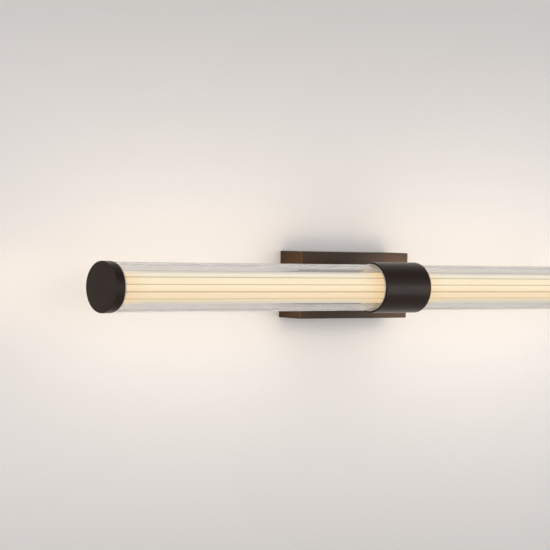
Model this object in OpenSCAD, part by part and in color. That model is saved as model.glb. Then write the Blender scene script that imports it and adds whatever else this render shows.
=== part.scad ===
// Linear vanity light: two ribbed glass tubes, end to end on a centre collar, held off the wall by a stem
// and a box-shaped back plate. X runs along the light, -Y points into the room and +Z is up.
// The origin is the centre of the bracket's wall face, so the wall is the plane y = 0.

/* [Overall] */
// Length over both end caps
overall_length = 610; // [400:1:1200]
// Distance from the front of the back plate to the centreline of the tubes
axis_gap = 46; // [36:0.5:60]

/* [Back plate] */
// Width of the back plate along the light
plate_w = 125; // [112:0.5:200]
// Height of the back plate
plate_h = 57; // [50:0.5:120]
// Depth of the back plate from the wall to its front
plate_d = 27.5; // [25:0.5:40]
// Sheet thickness of the back plate
plate_wall = 1.5; // [1:0.1:2]

/* [Mounting bracket] */
// Sheet thickness of the bracket
bracket_t = 2; // [1.5:0.1:3]
// Height of the bracket strap
bracket_h = 26; // [22:0.5:34]
// Gap between each end tab and the inside of the back plate
bracket_gap = 0.3; // [0.1:0.05:0.5]
// Distance between the two wall screw slots
slot_spacing = 83.3; // [70:0.1:90]
// Width of each wall screw slot
slot_w = 4.8; // [4.2:0.1:6]
// Length of each wall screw slot, end to end
slot_length = 12; // [8:0.5:16]
// Diameter of the hole for the supply wires
wire_hole_d = 19; // [12:0.5:20]
// Length of the end tabs, measured off the strap
tab_length = 15; // [13:0.5:16]
// Height of the end tabs
tab_h = 20; // [14:0.5:22]

/* [Screws] */
// Shank diameter of the plate screws and of the ground screw
screw_d = 4; // [3:0.1:4.5]
// Head diameter of those screws
screw_head_d = 7.2; // [6:0.1:8.5]
// Head height of those screws
screw_head_h = 2; // [1.5:0.1:2.5]
// Reach of the plate screws inward from the outside of the plate
plate_screw_reach = 5; // [4.5:0.1:6]
// Distance from the centre of the plate to the ground screw
ground_x = 24; // [20:0.5:26]
// Width across the flats of the hexagon socket in those screws
socket_af = 2.5; // [1.5:0.1:3]
// Depth of the hexagon socket
socket_d = 1.2; // [0.8:0.1:1.4]
// Shank diameter of the rail screws
rail_screw_d = 3; // [2:0.1:4]
// How far the rail screws lie below the surface of their spigots
rail_screw_sunk = 0.5; // [0.2:0.1:1]

/* [Driver and terminals] */
// Length of the driver housing along the plate
driver_l = 42; // [30:0.5:48]
// Depth of the driver housing off the plate
driver_d = 18; // [12:0.5:18]
// Height of the driver housing
driver_h = 30; // [20:0.5:34]
// Shift of the driver toward its plate screw, off the middle of the space between screw and washer
driver_x = 0; // [-3:0.5:3]
// Chamfer on the long edges of the driver housing
driver_chamfer = 1.5; // [0.5:0.1:3]
// Distance of the low voltage leads from the driver's rear face
led_lead_inset = 6; // [5:0.1:6.5]
// Length of the terminal block along the plate
block_l = 30; // [24:0.5:34]
// Depth of the terminal block off the plate
block_d = 13; // [10:0.5:14]
// Height of the terminal block
block_h = 26; // [24:0.5:32]
// Distance from the centre of the plate to the near end of the terminal block
block_x = 14; // [12:0.5:16]
// Distance between neighbouring poles of the terminal block
pole_pitch = 8.7; // [7.5:0.1:9]
// Chamfer on the long edges of the terminal block
block_chamfer = 1; // [0.5:0.1:2]
// Width of the supply ports in the terminal block
port_w = 3; // [2:0.1:4]
// Depth of the supply ports
port_depth = 6.5; // [4:0.1:8]
// Distance from the near end of the terminal block to its supply ports
port_inset = 1.5; // [1:0.1:3]
// Thickness of the adhesive pads under the driver and the terminal block
pad_t = 1; // [0.5:0.1:1.5]
// How far the pads stay inside the outline of what they hold
pad_inset = 2; // [0.5:0.1:4]
// Outer diameter of every lead
lead_d = 2.4; // [1.6:0.1:2.6]
// Centreline radius of the bends in the leads
lead_bend = 5; // [4:0.1:5.5]
// Gap between a lead and what it passes
lead_gap = 0.2; // [0.1:0.05:0.3]
// Thickness of the ground lead's ring terminal
ring_t = 0.8; // [0.5:0.1:1.2]
// How far the ring terminal stands out round the screw's head
ring_margin = 0.4; // [0.2:0.1:1]
// Straight length of the ground lead from its ring to its bend
ring_barrel = 2; // [1:0.1:3]

/* [Stem and nipple] */
// Outer diameter of the stem
stem_d = 22; // [18:0.5:30]
// Wall of the stem
stem_wall = 1.5; // [1:0.1:3]
// Outer diameter of the threaded hollow nipple
nipple_d = 10; // [9:0.1:12]
// Bore of the nipple
nipple_bore = 7; // [6.4:0.1:7.5]
// How far the nipple stands out of its nut
nipple_proud = 2; // [1:0.1:2.5]
// How far the nipple's inner end stays out of the wiring chamber
nipple_inset = 0.5; // [0.2:0.1:1]
// Distance across the flats of the nipple's nut
nut_af = 14; // [13:0.5:17]
// Thickness of the nut
nut_t = 4; // [3:0.1:5]
// Outer diameter of the lock washer
washer_d = 17; // [15:0.5:20]
// Thickness of the lock washer
washer_t = 1.2; // [0.8:0.1:1.5]

/* [Collar and hub] */
// Length of the collar along the light
collar_length = 52; // [44:0.5:80]
// Wall of the collar
collar_wall = 1.55; // [1.2:0.05:3]
// Chamfer on the outer edges of the collar
collar_chamfer = 0.6; // [0.2:0.05:1]
// Length of the hub's middle disc along the light
hub_length = 16; // [15:0.5:22]
// Diameter of the wiring chamber through the middle of the hub
chamber_d = 15; // [14:0.5:17]
// Wall between the wiring chamber and each rail slot
chamber_wall = 2; // [1:0.1:3]

/* [Glass tubes] */
// Outer diameter of a glass tube over its ribs
glass_od = 38.8; // [37:0.1:44]
// Wall of a glass tube under the crest of a rib
glass_wall = 3; // [2.5:0.1:3.4]
// Number of ribs round a glass tube
rib_count = 21; // [16:1:30]
// Depth of the valleys between the ribs
rib_depth = 0.25; // [0.2:0.05:0.9]
// Thickness of the seat gasket's pad under the end of the glass
seat_pad_t = 1.5; // [1:0.1:2.5]
// How far the seat gasket's pad reaches in from the bore of the glass
seat_pad_inset = 1; // [0.2:0.1:2]
// Thickness of the seat gasket's lip between the glass and the collar
seat_lip_t = 0.45; // [0.4:0.05:1]
// How far the lip stands out of the collar
seat_lip_proud = 0.5; // [0.2:0.1:1.5]

/* [End caps] */
// How far a cap's rim stands out beyond the glass
cap_overhang = 0.6; // [0.2:0.05:2]
// Thickness of an end cap
cap_t = 8.5; // [8:0.1:14]
// Chamfer on the edges of an end cap
cap_chamfer = 0.4; // [0.1:0.05:0.5]
// Thickness of the cap gasket
cap_gasket_t = 1.2; // [1:0.1:1.6]
// Depth of the gasket's groove in the cap
cap_groove_d = 0.8; // [0.5:0.1:0.9]
// How far the cap gasket stays inside the wall of the glass, inside and outside
cap_gasket_inset = 0.3; // [0.1:0.05:0.6]
// Diameter of the threaded stud that the cap screws on
stud_d = 8; // [6:0.5:10]
// Length of the stud inside the cap
stud_reach = 6; // [4:0.1:6]
// Depth of the cap's hole beyond the end of the stud
stud_tip_gap = 0.8; // [0.3:0.1:1]

/* [Light engine] */
// Outer diameter of a diffuser tube
diffuser_od = 25; // [24:0.5:26]
// Wall of a diffuser tube
diffuser_wall = 1.5; // [1:0.1:1.8]
// Width of the heat sink rail
rail_w = 16; // [15:0.5:17]
// Thickness of the heat sink rail
rail_t = 3; // [2:0.1:3]
// Thickness of an LED board
board_t = 1; // [0.8:0.1:1]
// Width of an LED board
board_w = 14; // [10:0.5:15]
// Distance from the spigots to the ends of the boards
board_gap = 1; // [0.5:0.1:3]
// Length of a rear board that the low voltage lead lies over
lead_on_board = 2; // [1:0.1:6]
// Length of one LED
led_l = 3.5; // [2:0.1:5]
// Width of one LED
led_w = 2.8; // [2:0.1:5]
// Height of one LED
led_h = 0.8; // [0.5:0.1:1.2]
// Distance from one LED to the next
led_pitch = 12; // [8:0.5:30]
// Least distance from the end of a board to the middle of its first LED
led_margin = 10; // [9:0.5:20]
// Length of the spigots that carry the rail and the diffuser
spigot_length = 10; // [8:0.5:14]
// Depth of the slots that hold the ends of the rail
slot_depth = 6; // [4:0.5:6.5]
// Thickness of the end plug's flange
plug_flange_t = 3; // [2:0.1:6]

/* [Clearances] */
// Radial clearance of pieces that slip into each other and stay there
slip = 0.05; // [0.02:0.01:0.1]
// Radial clearance of the cap's thread on its stud
thread_gap = 0.05; // [0.02:0.01:0.08]
// Clearance at the ends of pieces that are trapped between two others
end_gap = 0.1; // [0.05:0.05:0.2]
// Radial gap between the end plug's flange and the inside of the glass
plug_gap = 0.4; // [0.2:0.05:0.6]

/* [Hidden] */
$fn = 96;
left = -1;
right = 1;
front = -1;
rear = 1;
// How far a cutting tool reaches past the face that it cuts
past = 1;

// Colours
bronze = [0.22, 0.18, 0.16];
aluminium = [0.78, 0.78, 0.79];
zinc = [0.72, 0.72, 0.70];
clear_glass = [0.85, 0.88, 0.86, 0.35];
clear_rubber = [0.86, 0.88, 0.84, 0.8];
lit_acrylic = [1, 0.9, 0.7, 0.7];
board_white = [0.94, 0.94, 0.92];
led_yellow = [0.97, 0.82, 0.3];
driver_white = [0.9, 0.9, 0.88];
block_grey = [0.6, 0.62, 0.64];
foam_grey = [0.35, 0.35, 0.36];
copper_green = [0.1, 0.5, 0.22];

// Places along Y
plate_inner_y = -plate_d + plate_wall;
axis_y = -plate_d - axis_gap;
tab_screw_y = -bracket_t - tab_length / 2;
carrier_y = plate_inner_y + pad_t;
lead_y = carrier_y + driver_d - led_lead_inset;
supply_lead_y = carrier_y + driver_d / 2;

// Places along X
plate_half_w = plate_w / 2;
driver_mid_x = (plate_screw_reach - plate_half_w - washer_d / 2) / 2 - driver_x;
driver_near_x = driver_mid_x + driver_l / 2;
bracket_half_w = plate_half_w - plate_wall - bracket_gap;
half_length = overall_length / 2;
hub_half = hub_length / 2;
collar_half = collar_length / 2;
cap_inner_x = half_length - cap_t;
glass_start_x = hub_half + seat_pad_t;
glass_end_x = cap_inner_x - (cap_gasket_t - cap_groove_d);
plug_face_x = glass_end_x - plug_flange_t;
hub_spigot_end = hub_half + spigot_length;
plug_spigot_start = plug_face_x - spigot_length;
rail_start_x = hub_spigot_end - slot_depth + end_gap;
rail_end_x = plug_spigot_start + slot_depth - end_gap;
rail_screw_x = [hub_spigot_end - slot_depth / 2, plug_spigot_start + slot_depth / 2];
board_start_x = hub_spigot_end + board_gap;
board_length = plug_spigot_start - board_gap - board_start_x;
led_lead_end_x = board_start_x + lead_on_board;

// Radii round the tubes' centreline
glass_r = glass_od / 2;
glass_bore_r = glass_r - glass_wall;
collar_bore_r = glass_r + seat_lip_t + 2 * slip;
collar_r = collar_bore_r + collar_wall;
hub_r = collar_bore_r - slip;
cap_r = glass_r + cap_overhang;
diffuser_r = diffuser_od / 2;
diffuser_bore_r = diffuser_r - diffuser_wall;
spigot_r = diffuser_bore_r - end_gap;
plug_r = glass_bore_r - plug_gap;
stud_r = stud_d / 2;
chamber_r = chamber_d / 2;
nipple_r = nipple_d / 2;
lead_r = lead_d / 2;
screw_r = screw_d / 2;
rail_screw_r = rail_screw_d / 2;

// A lead runs beside the rail, clear of the rear board
lead_offset = rail_t / 2 + board_t + lead_r + lead_gap;
lead_side = lead_r + lead_gap / 2;
passage_r = lead_side + lead_r + lead_gap;
// The nipple ends where its hole meets the wiring chamber
nipple_in_hub_y = axis_y + chamber_r + nipple_inset;
nipple_rear_y = plate_inner_y + washer_t + nut_t + nipple_proud;

// The ribs are arcs that meet in the valleys: centre distance and radius of one arc
rib_half_angle = 180 / rib_count;
valley_r = glass_r - rib_depth;
rib_centre = (glass_r * glass_r - valley_r * valley_r) / (2 * (glass_r - valley_r * cos(rib_half_angle)));
rib_r = glass_r - rib_centre;

// A round bar along +X from x, centred on the X axis
module bar_x(x, length, r) {
    translate([x, 0, 0])
        rotate([0, 90, 0])
            cylinder(h = length, r = r);
}

// A round bar along +Y from y, centred on the Y axis
module bar_y(y, length, r) {
    translate([0, y, 0])
        rotate([-90, 0, 0])
            cylinder(h = length, r = r);
}

// A hollow tube along +X
module tube_x(x, length, r_out, r_in) {
    difference() {
        bar_x(x, length, r_out);
        bar_x(x - past, length + 2 * past, r_in);
    }
}

// A block that is centred on x and z and runs from y to y + depth
module block_y(x, y, width, depth, height) {
    translate([x - width / 2, y, -height / 2])
        cube([width, depth, height]);
}

// A solid of revolution round the X axis, from a profile of [x, radius] points
module turned_x(profile) {
    rotate([0, 90, 0])
        rotate_extrude()
            polygon([for (p = profile) [p[1], p[0]]]);
}

// Moves a shape to the tubes' centreline, and mirrors it for the left half
module on_half(side) {
    translate([0, axis_y, 0])
        mirror([side < 0 ? 1 : 0, 0, 0])
            children();
}

// A quarter of a bend in the XY plane, from angle 0 to 90 degrees round the origin
module quarter_bend(r) {
    rotate_extrude(angle = 90)
        translate([lead_bend, 0])
            circle(r = r);
}

// A box with its four long edges cut at 45 degrees, extruded along Y
module chamfered_block_y(x, y, width, depth, height, cut) {
    w = width / 2;
    h = height / 2;
    translate([x, y, 0])
        rotate([-90, 0, 0])
            linear_extrude(height = depth)
                polygon([
                    [-w + cut, -h], [w - cut, -h], [w, -h + cut], [w, h - cut],
                    [w - cut, h], [-w + cut, h], [-w, h - cut], [-w, -h + cut]
                ]);
}

// Back plate: a folded sheet box that is open at the wall
module back_plate() {
    color(bronze)
        difference() {
            block_y(0, -plate_d, plate_w, plate_d, plate_h);
            block_y(0, plate_inner_y, plate_w - 2 * plate_wall, plate_d, plate_h - 2 * plate_wall);
            bar_y(-plate_d - past, plate_wall + 2 * past, nipple_r + 2 * slip);
            translate([0, tab_screw_y, 0])
                bar_x(-plate_half_w - past, plate_w + 2 * past, screw_r + 2 * slip);
        }
}

// Wall screw slot with round ends, cut through the bracket
module bracket_slot(x) {
    end_shift = (slot_length - slot_w) / 2;
    for (shift = [-end_shift, end_shift])
        translate([x + shift, 0, 0])
            bar_y(-bracket_t - past, bracket_t + 2 * past, slot_w / 2);
    block_y(x, -bracket_t - past, 2 * end_shift, bracket_t + 2 * past, slot_w);
}

// Mounting bracket: a strap against the wall box with a tab at each end for the plate screws
module mounting_bracket() {
    color(zinc)
        difference() {
            union() {
                block_y(0, -bracket_t, 2 * bracket_half_w, bracket_t, bracket_h);
                for (side = [left, right])
                    block_y(side * (bracket_half_w - bracket_t / 2), -bracket_t - tab_length,
                        bracket_t, tab_length + bracket_t / 2, tab_h);
            }
            for (side = [left, right])
                bracket_slot(side * slot_spacing / 2);
            bar_y(-bracket_t - past, bracket_t + 2 * past, wire_hole_d / 2);
            translate([ground_x, 0, 0])
                bar_y(-bracket_t - past, bracket_t + 2 * past, screw_r + slip);
            translate([0, tab_screw_y, 0])
                bar_x(-plate_half_w, plate_w, screw_r + slip);
        }
}

// A screw along X with its head above x = 0 and a hexagon socket in it
module socket_screw(reach) {
    socket_r = socket_af / 2 / cos(30);
    difference() {
        union() {
            bar_x(0, screw_head_h, screw_head_d / 2);
            bar_x(-reach, reach, screw_r);
        }
        translate([screw_head_h - socket_d, 0, 0])
            rotate([0, 90, 0])
                cylinder(h = socket_d + past, r = socket_r, $fn = 6);
    }
}

// Plate screws: one through each end wall of the back plate into the bracket's tab
module plate_screws() {
    color(bronze)
        for (side = [left, right])
            translate([0, tab_screw_y, 0])
                mirror([side < 0 ? 1 : 0, 0, 0])
                    translate([plate_half_w, 0, 0])
                        socket_screw(plate_screw_reach);
}

// Ground screw: holds the ground lead's ring on the bracket
module ground_screw() {
    color(copper_green)
        translate([ground_x, -bracket_t - ring_t, 0])
            rotate([0, 0, -90])
                socket_screw(bracket_t + ring_t - end_gap);
}

// Driver: a plastic housing that lies on its pad inside the back plate
module led_driver() {
    color(driver_white)
        chamfered_block_y(driver_mid_x, carrier_y, driver_l, driver_d, driver_h, driver_chamfer);
}

// Pad under the driver
module driver_pad() {
    color(foam_grey)
        block_y(driver_mid_x, plate_inner_y, driver_l - 2 * pad_inset, pad_t, driver_h - 2 * pad_inset);
}

// Terminal block with a port for each supply wire in its rear face
module terminal_block() {
    color(block_grey)
        difference() {
            chamfered_block_y(block_x + block_l / 2, carrier_y, block_l, block_d, block_h, block_chamfer);
            for (pole = [-1, 0, 1])
                translate([0, 0, pole * pole_pitch])
                    block_y(block_x + port_inset + port_w / 2, carrier_y + block_d - port_depth,
                        port_w, port_depth + past, port_w);
        }
}

// Pad under the terminal block
module terminal_pad() {
    color(foam_grey)
        block_y(block_x + block_l / 2, plate_inner_y, block_l - 2 * pad_inset, pad_t,
            block_h - 2 * pad_inset);
}

// A straight lead from the driver to one pole of the terminal block
module supply_lead(pole, tint) {
    color(tint)
        translate([0, supply_lead_y, pole * pole_pitch])
            bar_x(driver_near_x, block_x - driver_near_x, lead_r);
}

// Ground lead: a ring under the ground screw, a bend and a straight run into the terminal block
module ground_lead() {
    ring_r = screw_head_d / 2 + ring_margin;
    bend_x = ground_x + ring_r + ring_barrel;
    run_y = -bracket_t - lead_r;
    color(copper_green)
        union() {
            difference() {
                union() {
                    translate([ground_x, 0, 0])
                        bar_y(-bracket_t - ring_t, ring_t, ring_r);
                    translate([0, run_y, 0])
                        bar_x(ground_x + screw_head_d / 2, ring_margin + ring_barrel, lead_r);
                }
                translate([ground_x, 0, 0])
                    bar_y(-bracket_t - ring_t - past, ring_t + 2 * past, screw_r + slip);
            }
            translate([bend_x, run_y - lead_bend, 0])
                quarter_bend(lead_r);
            translate([bend_x + lead_bend, 0, 0])
                bar_y(carrier_y + block_d, run_y - lead_bend - carrier_y - block_d, lead_r);
        }
}

// Stem: a tube from the back plate to the collar, cut to the collar's round
module stem() {
    color(bronze)
        translate([0, axis_y, 0])
            difference() {
                bar_y(0, axis_gap, stem_d / 2);
                bar_y(-past, axis_gap + 2 * past, stem_d / 2 - stem_wall);
                bar_x(-stem_d, 2 * stem_d, collar_r + slip);
            }
}

// Nipple: a hollow threaded tube that draws the hub, collar, stem and plate together
module nipple() {
    color(zinc)
        difference() {
            bar_y(nipple_in_hub_y, nipple_rear_y - nipple_in_hub_y, nipple_r);
            bar_y(nipple_in_hub_y - past, nipple_rear_y - nipple_in_hub_y + 2 * past, nipple_bore / 2);
        }
}

// Nut on the nipple, inside the back plate
module nipple_nut() {
    nut_y = plate_inner_y + washer_t;
    color(zinc)
        difference() {
            translate([0, nut_y, 0])
                rotate([-90, 0, 0])
                    cylinder(h = nut_t, r = nut_af / 2 / cos(30), $fn = 6);
            bar_y(nut_y - past, nut_t + 2 * past, nipple_r + slip);
        }
}

// Lock washer under the nut
module lock_washer() {
    color(zinc)
        difference() {
            bar_y(plate_inner_y, washer_t, washer_d / 2);
            bar_y(plate_inner_y - past, washer_t + 2 * past, nipple_r + 2 * slip);
        }
}

// Collar: a dark ring round the hub with a tube in each mouth
module centre_collar() {
    color(bronze)
        translate([0, axis_y, 0])
            difference() {
                turned_x([
                    [-collar_half, collar_bore_r],
                    [-collar_half, collar_r - collar_chamfer],
                    [-collar_half + collar_chamfer, collar_r],
                    [collar_half - collar_chamfer, collar_r],
                    [collar_half, collar_r - collar_chamfer],
                    [collar_half, collar_bore_r]
                ]);
                bar_y(0, collar_r + past, nipple_r + 2 * slip);
            }
}

// Slot, screw hole and lead passage that each spigot has at its open end
module spigot_cuts(slot_start) {
    translate([slot_start, -rail_t / 2 - slip, -rail_w / 2 - slip])
        cube([slot_depth, rail_t + 2 * slip, rail_w + 2 * slip]);
    translate([slot_start + slot_depth / 2, 0, 0])
        bar_y(-spigot_r - past, spigot_r + past, rail_screw_r + slip);
}

// Hub: fills the middle of the collar and carries both rails and diffusers
module centre_hub() {
    chamber_half = hub_spigot_end - slot_depth - chamber_wall;
    color(aluminium)
        translate([0, axis_y, 0])
            difference() {
                turned_x([
                    [-hub_spigot_end, 0],
                    [-hub_spigot_end, spigot_r],
                    [-hub_half, spigot_r],
                    [-hub_half, hub_r],
                    [hub_half, hub_r],
                    [hub_half, spigot_r],
                    [hub_spigot_end, spigot_r],
                    [hub_spigot_end, 0]
                ]);
                bar_x(-chamber_half, 2 * chamber_half, chamber_r);
                bar_y(0, hub_r + past, nipple_r + slip);
                for (side = [left, right])
                    mirror([side < 0 ? 1 : 0, 0, 0]) {
                        spigot_cuts(hub_spigot_end - slot_depth);
                        translate([0, lead_offset, 0])
                            bar_x(0, hub_spigot_end + past, passage_r);
                    }
            }
}

// Seat gasket: a pad under the end of the glass with a lip that lines the mouth of the collar
module seat_gasket(side) {
    lip_r = glass_r + slip;
    pad_r = glass_bore_r - seat_pad_inset;
    color(clear_rubber)
        on_half(side)
            turned_x([
                [hub_half, pad_r],
                [hub_half, collar_bore_r - slip],
                [collar_half + seat_lip_proud, collar_bore_r - slip],
                [collar_half + seat_lip_proud, lip_r],
                [glass_start_x, lip_r],
                [glass_start_x, pad_r]
            ]);
}

// Glass tube: round ribs outside and a plain bore
module glass_tube(side) {
    length = glass_end_x - glass_start_x;
    color(clear_glass)
        on_half(side)
            translate([glass_start_x, 0, 0])
                rotate([0, 90, 0])
                    linear_extrude(height = length)
                        difference() {
                            for (rib = [0 : rib_count - 1])
                                rotate([0, 0, rib * 360 / rib_count])
                                    translate([0, -rib_centre])
                                        circle(r = rib_r);
                            circle(r = glass_bore_r);
                        }
}

// Diffuser: a frosted tube between the hub and the end plug
module diffuser(side) {
    start = hub_half + end_gap;
    color(lit_acrylic)
        on_half(side)
            tube_x(start, plug_face_x - end_gap - start, diffuser_r, diffuser_bore_r);
}

// Heat sink: a flat bar that carries both boards and ties the end plug to the hub
module heat_sink(side) {
    color(aluminium)
        on_half(side)
            difference() {
                translate([rail_start_x, -rail_t / 2, -rail_w / 2])
                    cube([rail_end_x - rail_start_x, rail_t, rail_w]);
                for (x = rail_screw_x)
                    translate([x, 0, 0])
                        bar_y(-rail_t, 2 * rail_t, rail_screw_r + slip);
            }
}

// LED board on the front or rear face of the rail
module led_board(side, face) {
    y = face * (rail_t + board_t) / 2;
    color(board_white)
        on_half(side)
            translate([board_start_x, y - board_t / 2, -board_w / 2])
                cube([board_length, board_t, board_w]);
}

// The LEDs of one board, in one row
module leds(side, face) {
    count = floor((board_length - 2 * led_margin) / led_pitch) + 1;
    first_x = board_start_x + (board_length - (count - 1) * led_pitch) / 2;
    y = face * (rail_t / 2 + board_t + led_h / 2);
    color(led_yellow)
        on_half(side)
            for (i = [0 : count - 1])
                translate([first_x + i * led_pitch - led_l / 2, y - led_h / 2, -led_w / 2])
                    cube([led_l, led_h, led_w]);
}

// Rail screws: one through each spigot into the end of the rail
module rail_screws(side) {
    head_y = -spigot_r + rail_screw_sunk;
    color(zinc)
        on_half(side)
            for (x = rail_screw_x)
                translate([x, 0, 0])
                    bar_y(head_y, rail_t / 2 - head_y, rail_screw_r);
}

// End plug: closes the diffuser, centres the glass and carries the stud for the cap
module end_plug(side) {
    stud_end = cap_inner_x + stud_reach;
    color(aluminium)
        on_half(side)
            difference() {
                turned_x([
                    [plug_spigot_start, 0],
                    [plug_spigot_start, spigot_r],
                    [plug_face_x, spigot_r],
                    [plug_face_x, plug_r],
                    [glass_end_x, plug_r],
                    [glass_end_x, stud_r],
                    [stud_end, stud_r],
                    [stud_end, 0]
                ]);
                spigot_cuts(plug_spigot_start);
            }
}

// Low voltage lead: from the driver through the nipple and hub to the rear board of one half
module led_lead(side) {
    down_y = axis_y + lead_offset + lead_bend;
    tint = side < 0 ? "white" : "dimgray";
    color(tint)
        translate([0, 0, -side * lead_side]) {
            translate([0, lead_y, 0])
                bar_x(driver_near_x, -lead_bend - driver_near_x, lead_r);
            translate([-lead_bend, lead_y - lead_bend, 0])
                quarter_bend(lead_r);
            bar_y(down_y, lead_y - lead_bend - down_y, lead_r);
            mirror([side < 0 ? 1 : 0, 0, 0]) {
                translate([lead_bend, down_y, 0])
                    rotate([0, 0, 180])
                        quarter_bend(lead_r);
                translate([0, axis_y + lead_offset, 0])
                    bar_x(lead_bend, led_lead_end_x - lead_bend, lead_r);
            }
        }
}

// Cap gasket: a flat ring in the cap's groove that presses on the end of the glass
module cap_gasket(side) {
    color(clear_rubber)
        on_half(side)
            tube_x(glass_end_x, cap_gasket_t, glass_r - cap_gasket_inset, glass_bore_r + cap_gasket_inset);
}

// End cap: a thick disc with a groove for its gasket and a blind threaded hole for the stud
module end_cap(side) {
    groove_inset = cap_gasket_inset - end_gap;
    color(bronze)
        on_half(side)
            difference() {
                turned_x([
                    [cap_inner_x, 0],
                    [cap_inner_x, cap_r - cap_chamfer],
                    [cap_inner_x + cap_chamfer, cap_r],
                    [half_length - cap_chamfer, cap_r],
                    [half_length, cap_r - cap_chamfer],
                    [half_length, 0]
                ]);
                tube_x(cap_inner_x - past, past + cap_groove_d, glass_r - groove_inset,
                    glass_bore_r + groove_inset);
                bar_x(cap_inner_x - past, past + stud_reach + stud_tip_gap, stud_r + thread_gap);
            }
}

back_plate();
mounting_bracket();
plate_screws();
ground_screw();
led_driver();
driver_pad();
terminal_block();
terminal_pad();
supply_lead(1, "black");  // line_lead
supply_lead(-1, "white");  // neutral_lead
ground_lead();
stem();
nipple();
nipple_nut();
lock_washer();
centre_collar();
centre_hub();
seat_gasket(left);  // left_seat_gasket
seat_gasket(right);  // right_seat_gasket
glass_tube(left);  // left_glass_tube
glass_tube(right);  // right_glass_tube
diffuser(left);  // left_diffuser
diffuser(right);  // right_diffuser
heat_sink(left);  // left_heat_sink
heat_sink(right);  // right_heat_sink
led_board(left, front);  // left_front_board
led_board(right, front);  // right_front_board
led_board(left, rear);  // left_rear_board
led_board(right, rear);  // right_rear_board
leds(left, front);  // left_front_leds
leds(right, front);  // right_front_leds
leds(left, rear);  // left_rear_leds
leds(right, rear);  // right_rear_leds
rail_screws(left);  // left_rail_screws
rail_screws(right);  // right_rail_screws
end_plug(left);  // left_end_plug
end_plug(right);  // right_end_plug
led_lead(left);  // left_led_lead
led_lead(right);  // right_led_lead
cap_gasket(left);  // left_cap_gasket
cap_gasket(right);  // right_cap_gasket
end_cap(left);  // left_end_cap
end_cap(right);  // right_end_cap
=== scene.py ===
import math

import bmesh
import bpy
from mathutils import Matrix, Vector


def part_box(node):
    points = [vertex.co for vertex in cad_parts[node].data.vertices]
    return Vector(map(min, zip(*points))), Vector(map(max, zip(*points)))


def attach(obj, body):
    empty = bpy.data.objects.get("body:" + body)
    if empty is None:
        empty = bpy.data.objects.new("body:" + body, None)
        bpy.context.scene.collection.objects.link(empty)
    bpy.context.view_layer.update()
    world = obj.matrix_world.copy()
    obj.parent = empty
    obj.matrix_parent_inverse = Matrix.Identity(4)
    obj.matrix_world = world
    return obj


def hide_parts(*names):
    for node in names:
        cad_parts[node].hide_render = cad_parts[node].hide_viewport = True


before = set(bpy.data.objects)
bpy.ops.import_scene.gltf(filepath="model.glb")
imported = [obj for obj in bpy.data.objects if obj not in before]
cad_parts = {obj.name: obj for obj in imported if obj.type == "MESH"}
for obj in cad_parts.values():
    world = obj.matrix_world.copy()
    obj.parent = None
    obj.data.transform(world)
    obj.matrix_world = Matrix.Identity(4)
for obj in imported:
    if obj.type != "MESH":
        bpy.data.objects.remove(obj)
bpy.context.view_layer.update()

# Linear vanity light: two ribbed glass tubes, end to end on a centre collar, on a box-shaped wall plate.
# X runs along the light, -Y points into the room and +Z is up. Lengths are metres.

MM = 0.001
FULL_TURN = 2 * math.pi
SIDES = {"left": -1, "right": 1}

# Steps round a turned shape and along a rounded corner, and what counts as one point, as flat and as sharp
STEPS = 192
FINE_STEPS = 256
ARC_STEPS = 5
SAME_POINT = 1e-6
FLAT_ANGLE = math.radians(1)
SHARP_DEGREES = 35

# Places and radii that the frame gives
cap_low, cap_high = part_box("right_end_cap")
glass_low, glass_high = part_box("right_glass_tube")
collar_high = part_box("centre_collar")[1]
plate_low, plate_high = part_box("back_plate")
AXIS_Y = (cap_low.y + cap_high.y) / 2
AXIS = (0, AXIS_Y, 0)
CAP_R = cap_high.z
GLASS_R = AXIS_Y - glass_low.y
COLLAR_R = collar_high.z
DIFFUSER_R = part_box("right_diffuser")[1].z
STEM_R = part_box("stem")[1].z

# Sizes inside those boxes, as the construction has them
GLASS_WALL = 3.0 * MM
RIB_COUNT = 21
RIB_PITCH = FULL_TURN / RIB_COUNT
RIB_DEPTH = 0.25 * MM
VALLEY_BLEND = 0.3 * MM
RIB_STEPS = 24
VALLEY_STEPS = 2.4
DIFFUSER_WALL = 1.5 * MM
COLLAR_BORE_R = 19.95 * MM
COLLAR_ROUND = 0.6 * MM
CAP_ROUND = 0.45 * MM
PLATE_WALL = 1.5 * MM
CLEARANCE = 0.05 * MM
# How warm rounded edges turn, on turned and folded parts: worn bronze, and also a painted highlight along the
# edge
TURNED_WEAR_AND_SHEEN = 0.35
FOLD_WEAR_AND_SHEEN = 0.15
SOCKET_AF = 2.5 * MM
SOCKET_DEPTH = 1.2 * MM
SCREW_R = 2.0 * MM
NUT_AF = 14.0 * MM
WASHER_T = 1.2 * MM
NIPPLE_PITCH = 1.0 * MM
STUD_R = 4.0 * MM
STUD_PITCH = 1.25 * MM
LEAD_R = 1.2 * MM
RING_T = 0.8 * MM


def srgb(red, green, blue):
    """Linear colour with alpha from three numbers of 0 to 255 as a picture shows them."""
    channels = (red / 255, green / 255, blue / 255)
    linear = [c / 12.92 if c <= 0.04045 else ((c + 0.055) / 1.055) ** 2.4 for c in channels]
    return (*linear, 1)


# Mesh building


def edge_layer(bm):
    """The number at each point that says how worn it is, which on bronze also paints a highlight along the
    edge, or on the glass how deep in a valley, which places a painted shade line.
    """
    return bm.verts.layers.float.get("edge") or bm.verts.layers.float.new("edge")


def value_at(value, angle):
    """A ring's number, or what its function gives at that angle."""
    return value(angle) if callable(value) else value


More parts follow.
